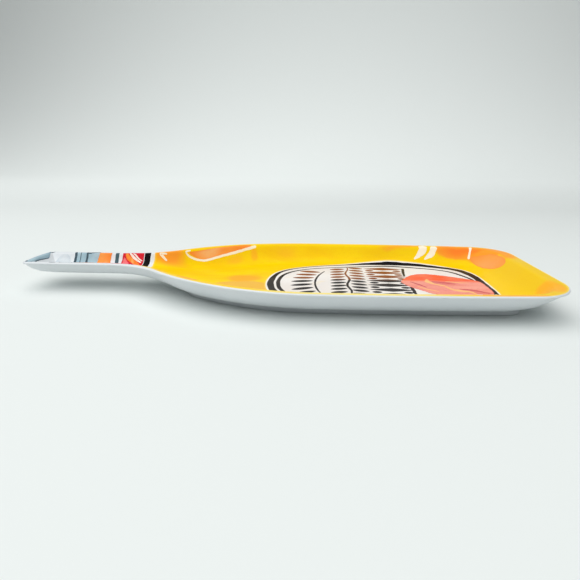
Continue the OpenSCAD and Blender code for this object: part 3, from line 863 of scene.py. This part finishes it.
def make_neck_bands():
    """The rest of the neck: orange, slate, red and black bands."""
    orange = wash("ink_soft_orange", srgb(255, 168, 84), srgb(255, 146, 60), srgb(236, 118, 44), 0.8, 80,
                  (1, 0.5, 1), (srgb(255, 178, 112), (-137, 6), (4, 7), 10, 0.8))
    ink("orange_band", [band(-145.4, -133.3, (-0.1, 0.03), 0.25, 4)], orange, "cap_orange_band", 1)
    slate = brush("ink_slate", SLATE, srgb(104, 128, 136))
    ink("slate_band", [band(-128.7, -125.8, (0.12, 0.12), 0.15, 6)], slate, "neck_slate_band")
    black = brush("ink_black", srgb(10, 10, 12), srgb(34, 34, 38))
    ink("black_band", [band(-106.7, -102.3, (0.03, 0.02), 0.15, 9)], black, "neck_black_band")

    red = wash("ink_red", srgb(232, 44, 60), srgb(216, 32, 50), srgb(190, 26, 44), 0.8, 70, (1, 0.6, 1),
               (srgb(236, 84, 110), (-121, 4), (6, 5), 0, 0.7))
    ink("red_band", [band(-124.5, -107.2, (0.0, 0.03), 0.2, 7)], red, "neck_red_band")
    flame = wash("ink_band_orange", srgb(255, 164, 62), srgb(255, 128, 44), srgb(246, 92, 44), 1.0, 90,
                 second=(srgb(255, 196, 110), (-114, 8), (2, 9), 30, 0.8))
    swirl = stroke([(-121.3, 15.2), (-120.1, 13.9), (-117, 12.2), (-112.6, 10), (-110, 6), (-110.6, 0),
                    (-113.4, -7), (-115.2, -14.2)], [2.6, 3.2, 3.4, 3.4, 3.8, 5.4, 5, 3], 0.12, 11)
    ink("red_band_swirl", [swirl], flame, "neck_red_band_strokes", 1, slot="ink_white_stroke")
    rose = wash("ink_band_rose", srgb(248, 150, 140), srgb(236, 84, 110), srgb(226, 74, 92), 0.7, 90)
    petal = patch([(-123.4, 13.2), (-120.6, 11.8), (-117.6, 9), (-115, 3), (-116.4, -6), (-119.6, -10),
                   (-122, -2), (-123.4, 6)], 0.3, 4)
    ink("red_band_petal", [petal], rose, "neck_red_band_strokes", 1, slot="ink_white_stroke")
    white = brush("ink_white_stroke", srgb(255, 250, 240), srgb(255, 222, 190))
    glints = (
        ([(-118.9, 15.8), (-117.6, 15), (-114.6, 13.4), (-109.4, 11.6)], (1.0, 1.4, 1.3, 0.9)),
        ([(-116.2, 15.8), (-114.2, 15), (-111, 13.5), (-108.6, 12.8)], (0.5, 0.9, 0.8, 0.6)),
        ([(-117.2, -8.6), (-114.6, -12), (-110.6, -14.6)], (1.3, 1.0, 0.5)),
    )
    for i, (points, widths) in enumerate(glints, start=1):
        ink(f"red_band_glint_{i}", [stroke(points, widths, 0.15, i)], white, "neck_red_band_strokes", 2)


# ---------------------------------------------------------------- label's outline
LABEL_C = np.array([91.0, -2.0])
LABEL_A, LABEL_B = 142.0, 59.5       # half sizes of the lens-like oval that the border follows
LABEL_HEAD, LABEL_FOOT = 98.0, 65.0  # distances at which its two ends are cut off blunt
OVAL_POWER, END_POWER = 1.54, 6.4
PAPER_MARGIN = 1.8                   # white left outside the border
LABEL_ANGLES = np.linspace(0, 2 * math.pi, 361)[:-1]


def label_r(a):
    """Distance of the border's middle from the label's centre."""
    c, s = np.cos(a), np.sin(a)
    oval = (np.abs(c / LABEL_A) ** OVAL_POWER + np.abs(s / LABEL_B) ** OVAL_POWER) ** (-1 / OVAL_POWER)
    straight = np.abs(c) / np.where(c < 0, LABEL_HEAD, LABEL_FOOT)
    return (oval**-END_POWER + straight**END_POWER) ** (-1 / END_POWER)


def label_loop(inset):
    """Loop inside the border's middle by a distance, which may change round it."""
    return polar(LABEL_C, label_r(LABEL_ANGLES) - inset, LABEL_ANGLES)


def around(values):
    """Smooth values round the label from some that are spread evenly, starting towards the base."""
    n, v = len(values), np.asarray(values, float)
    t = LABEL_ANGLES / (2 * math.pi) * n
    i = t.astype(int)
    a, b, c, d = (v[(i + k) % n] for k in (-1, 0, 1, 2))
    t -= i
    return b + (c - a) * t / 2 + (2 * a - 5 * b + 4 * c - d) * t**2 / 2 + (3 * b - a - 3 * c + d) * t**3 / 2


def ring(inset, width, seed):
    """Closed brush line round the label."""
    rough = 0.07 * width
    s = LABEL_ANGLES * 17            # less than the real distance, which makes a long line steadier
    outer = label_loop(inset - width / 2 - rough * wobble(s, seed))
    inner = label_loop(inset + width / 2 + rough * wobble(s, seed + 3))
    return [outer, inner]


# ---------------------------------------------------------------- body
FIELD_X = -98.9                      # the yellow starts here on the middle line


def field_loop():
    """Outline of the yellow field: the rim from the base end to the neck, and a leaning end."""
    end = across(FIELD_X, 0.05)
    end[1:-1, 0] += 0.25 * wobble(end[1:-1, 1], 2)
    side = half_loop(0, -NECK_MARGIN)
    side = mix(side, half_loop(0, PRINT_OUT), dish(side[:, :1]))
    other = side[::-1] * (1, -1)
    far = side[side[:, 0] > end[0, 0]]
    near = other[other[:, 0] > end[-1, 0]]
    return np.concatenate([far, end, near[:-1]])


def make_field():
    ink("yellow_field", [field_loop(), label_loop(-PAPER_MARGIN)], field_material(), "body_field")
    amber = wash("ink_orange_blot", srgb(255, 168, 80), srgb(253, 154, 68), srgb(251, 146, 58), 1.4, 40,
                 second=(srgb(255, 166, 92), (169.5, 42), (9, 14), 20, 0.8))
    round_blot = patch([(160.1, 58), (165.5, 57.2), (171.5, 54.5), (176.5, 50), (179.1, 42), (179.3, 34),
                        (177.5, 27), (173.9, 26), (170.5, 31), (168.1, 38), (165.1, 46), (161.5, 53)],
                       0.3, 2)
    ink("round_blot", [round_blot], amber, "field_blots", 1)
    shoulder_blot = patch([(-64.5, -40), (-56.5, -41.5), (-48.5, -47), (-45.5, -53), (-51.5, -52),
                           (-59.5, -46.5)], 0.4, 8)
    ink("shoulder_blot", [shoulder_blot], amber, "field_blots", 1)
    flame = wash("ink_orange_deep", srgb(255, 166, 66), srgb(255, 146, 50), srgb(255, 140, 48), 1.0, 50,
                 (1, 2, 1), (srgb(255, 188, 116), (-61.5, 42), (16, 7), 38, 0.8))
    drop = patch([(-75.5, 31.8), (-68.5, 32.6), (-61.5, 36.2), (-54, 42.2), (-45.5, 48.3), (-36.5, 53.9),
                  (-27.5, 58.6), (-31.5, 60.4), (-40.5, 56), (-50.5, 50.2), (-59.5, 44), (-68.5, 37.4)],
                 0.2, 3)
    ink("teardrop_fill", [drop], flame, "field_blots", 1, slot="ink_orange_blot")

    cream = brush("ink_cream_stroke", CREAM, srgb(255, 222, 150), (0.6, 0.8))
    strokes = {
        "teardrop_line": ([(-75.1, 33.6), (-77.9, 30.8), (-75.9, 29.8), (-72.3, 30.4), (-67.3, 32.1),
                           (-62.4, 34.8), (-56.4, 39.7), (-49, 45.2), (-36, 53.5), (-24.4, 60.1)],
                          (0.9, 1.4, 1.5, 1.3, 1.3, 1.4, 1.3, 1.9)),
        "shoulder_stroke": ([(-91.2, 21.9), (-93.4, 21.2), (-95.9, 20.1), (-93.2, 19.4), (-90.6, 18.6)],
                            (0.7, 1.1, 1.3, 1.6, 1.2)),
        "far_stroke_1": ([(122, 68.2), (121, 65), (114.3, 60.4)], (7.2, 4.0, 1.2)),
        "far_stroke_2": ([(131.8, 67.4), (129.3, 63.6), (122.9, 60)], (5.6, 4.0, 1.2)),
        "far_stroke_3": ([(162.1, 66), (160.9, 61.8), (159, 57.6)], (2.8, 1.5, 1.9)),
        "near_stroke_1": ([(127.5, -67.6), (125.1, -63.8), (119.1, -60.2)], (4.4, 3.0, 1.2)),
        "near_stroke_2": ([(136.1, -67.2), (133.5, -63), (127.9, -59.6)], (4.0, 2.8, 1.2)),
    }
    paint_strokes(strokes, 0.14, cream, "field_highlights", 2)


# ---------------------------------------------------------------- label
ARC_C, ARC_R = np.array([109.5, -3.0]), 80.0     # the line between the first two rows of ornament
VINE_X, LOZENGE_X = 54.5, 84.5


def arc_at(degrees, r):
    return polar(ARC_C, r, np.radians(degrees))


def make_label():
    ink("label_paper", [label_loop(-PAPER_MARGIN)], label_material(), "label_panel")
    charcoal = brush("ink_charcoal", CHARCOAL, srgb(64, 60, 63), far=srgb(22, 21, 25))
    # Widths of the two brush lines, and how far the inner one lies inside the outer
    border = around([5.0, 5.4, 6.2, 5.8, 4.8, 4.6, 5.2, 3.8, 2.6, 2.0, 1.9, 3.0,
                     4.8, 4.8, 3.2, 2.2, 2.4, 3.4, 4.4, 4.0, 3.8, 4.8, 5.2, 5.0])
    ink("label_border_line", ring(border / 2 - 0.6, border, 1), charcoal, "label_border", 1)
    inset = around([5.2, 7.0, 11.8, 12.0, 10.2, 8.6, 7.2, 7.6, 8.4, 8.8, 8.2, 7.4,
                    7.3, 7.9, 8.4, 9.0, 8.6, 7.8, 7.0, 8.0, 9.2, 10.2, 8.6, 5.8])
    inner = around([1.6, 2.0, 2.4, 2.2, 2.4, 2.6, 2.7, 2.4, 2.1, 1.9, 2.0, 2.5,
                    3.0, 2.8, 2.2, 1.9, 1.9, 2.1, 2.4, 2.2, 2.0, 2.0, 2.0, 1.6])
    ink("label_inner_line", ring(inset, inner, 2), charcoal, "label_border", 1)

    rule = brush("ink_charcoal_rule", CHARCOAL, srgb(78, 70, 70))
    rules = {
        "label_arc_rule": ([arc_at(a, ARC_R) for a in (156, 165, 174, 183, 192, 200)],
                           (0.8, 1.5, 1.6, 1.4, 1.5, 0.8)),
        "label_dash_far": ([(101.5, 42), (100.1, 31), (99.1, 19.5)], (2.2, 2.2, 1.4)),
        "label_dash_near": ([(99.2, -10.5), (99.4, -18), (99.3, -26)], (2.4, 2.6, 2.0)),
    }
    paint_strokes(rules, 0.15, rule, "label_rules", 1)
    make_leaf_row()
    make_vine_row()
    make_lozenge_row()
    make_emblem()


def ornament_ink(name):
    """Charcoal that turns brown towards the tray's far side."""
    return brush(name, CHARCOAL, srgb(90, 74, 64), far=BROWN)


def make_leaf_row():
    """Slanting leaves in a row along the arc."""
    tone = ornament_ink("ink_brown_leaf")
    for i, a in enumerate(np.arange(-20, 17, 6) + 180):
        ink(f"leaf_{i + 1}", [leaf(arc_at(a, ARC_R + 10), 17, 5.4, a + 12)], tone, "label_leaf_row", 1)


def make_vine_row():
    """A wavy stem across the label with leaves on both sides."""
    tone = ornament_ink("ink_brown_vine")
    ys = np.arange(-44, 44, 3)
    stem = np.stack([VINE_X + 1.2 * np.sin(ys / 5), ys], -1)
    ink("vine_stem", [stroke(stem, (0.8, 1.8, 1.8, 0.8), 0.15, 5)], tone, "label_vine_row", 1)
    for i, y in enumerate(np.arange(-39, 40, 7.8)):
        for side, name in ((-1, "left"), (1, "right")):
            place = (VINE_X + 7.6 * side, y + 2.2 * side)
            ink(f"vine_{name}_{i + 1}", [leaf(place, 12.5, 5.0, -14 * side)], tone, "label_vine_row", 1)


def make_lozenge_row():
    """Long lozenges side by side, with a pair of beads between each two."""
    tone = ornament_ink("ink_brown_lozenge")
    pitch = 11.6
    for i, y in enumerate(np.arange(-41, 42, pitch)):
        x = LOZENGE_X + 0.5 * math.sin(1.7 * i)
        ink(f"lozenge_{i + 1}", [lozenge((x, y), 32, 8.6)], tone, "label_lozenge_row", 1)
        if i:
            for side, name in ((-1, "left"), (1, "right")):
                bead = leaf((x + 11 * side, y - pitch / 2), 7, 4.6, 0)
                ink(f"bead_{name}_{i}", [bead], tone, "label_lozenge_row", 1)


def make_emblem():
    """A soft shape with a straight foot, crossed by pale waves."""
    outline = [(94, 2), (96.5, 9.5), (103, 20.4), (110, 25.6), (118, 26.6), (127.5, 23.6), (138.8, 18),
               (147.4, 13), (153.2, 6.4), (154.2, -6.6), (154, -19), (151, -25), (141, -29), (130.5, -30.4),
               (119.5, -28), (111, -24.4), (105.6, -18), (99, -10)]
    ink("emblem", [patch(outline, 0.25, 4)], emblem_material(), "label_emblem", 2)
    wave_tone = brush("ink_cream_wave", srgb(255, 196, 128), srgb(250, 168, 120), (0.5, 0.75))
    waves = {
        "emblem_wave_1": ([(114.5, 11), (114.1, 4.5), (118, -1.5), (123.5, -5)], (1.4, 4.4, 2.2, 3.0)),
        "emblem_wave_2": ([(124.3, -6.6), (126.7, -13), (132.1, -17), (137.9, -19), (140.9, -23.4)],
                          (1.6, 2.0, 4.6, 3.0, 1.2)),
        "emblem_wave_3": ([(127.5, 6.5), (135.5, 4), (143.5, 3.4)], (0.7, 1.8, 0.8)),
        "emblem_wave_4": ([(104, -8), (109.5, -14.5), (116.5, -19.5)], (0.7, 1.8, 0.9)),
    }
    paint_strokes(waves, 0.2, wave_tone, "label_emblem_wave", 3)
    rose = wash("ink_rose", srgb(222, 106, 106), srgb(208, 90, 96), srgb(200, 80, 88), 0.6, 80)
    streaks = {
        "emblem_streak_1": ([(117.1, 5), (123.5, 3.4), (132.5, -0.6)], (1.0, 2.6, 0.7)),
        "emblem_streak_2": ([(132.9, -12.6), (141.5, -15), (150.5, -22)], (0.9, 2.8, 1.0)),
        "emblem_streak_3": ([(100.9, 3.6), (106.5, -4), (109.9, -10)], (0.7, 2.2, 0.7)),
    }
    paint_strokes(streaks, 0.2, rose, "label_emblem", 3, slot="ink_coral")


make_cap()
make_neck_bands()
make_field()
make_label()

# ---------------------------------------------------------------- camera, stage and light
CAMERA_AT = (33.9, -326.9, 101.76)
PITCH, YAW = math.radians(17.34), math.radians(4.1)
SENSOR, IMAGE, FOCAL = 36.0, 580, 450      # mm, and pixels
lens = bpy.data.cameras.new("camera")
lens.sensor_width = SENSOR
lens.lens = SENSOR * FOCAL / IMAGE
camera = bpy.data.objects.new("camera", lens)
camera.location = np.array(CAMERA_AT) * MM
camera.rotation_euler = (math.pi / 2 - PITCH, 0, YAW)
bpy.context.scene.collection.objects.link(camera)
bpy.context.scene.camera = camera
bpy.context.scene.view_settings.view_transform = "Standard"


def make_stage():
    """A pale floor that sweeps up into a backdrop."""
    bend, back, height, depth, half = 2.2, 3.6, 4.0, 3.0, 5.0
    arc = np.linspace(0, math.pi / 2, 40)
    profile = [(-depth, 0)]
    profile += [(back - bend + bend * math.sin(a), bend - bend * math.cos(a)) for a in arc]
    profile.append((back, height))
    points = [(x / MM, y / MM, z / MM) for y, z in profile for x in (-half, half)]
    faces = [[2 * i, 2 * i + 1, 2 * i + 3, 2 * i + 2] for i in range(len(profile) - 1)]
    obj = new_object("backdrop", points, faces)
    paper = bpy.data.materials.new("backdrop_paper")
    paper.use_nodes = True
    shader = paper.node_tree.nodes["Principled BSDF"]
    shader.inputs["Base Color"].default_value = srgb(228, 233, 231)
    shader.inputs["Roughness"].default_value = 0.9
    shader.inputs["Specular IOR Level"].default_value = 0.1
    obj.data.materials.append(paper)


def area_light(name, place, target, size, power):
    data = bpy.data.lights.new(name, "AREA")
    data.shape = "RECTANGLE"
    data.size, data.size_y = size
    data.energy = power
    obj = bpy.data.objects.new(name, data)
    obj.location = place
    obj.rotation_euler = (Vector(target) - Vector(place)).to_track_quat("-Z", "Y").to_euler()
    bpy.context.scene.collection.objects.link(obj)


make_stage()
area_light("overhead_softbox", (-0.25, -0.25, 1.35), (0.05, 0.05, 0), (2.8, 2.2), 35)
area_light("backdrop_light", (0.0, 1.0, 1.6), (0, 3.2, 0.9), (4.5, 1.0), 41)
world = bpy.data.worlds.new("studio")
world.use_nodes = True
background = world.node_tree.nodes["Background"]
background.inputs["Color"].default_value = (0.94, 0.96, 0.97, 1)
background.inputs["Strength"].default_value = 0.2
bpy.context.scene.world = world
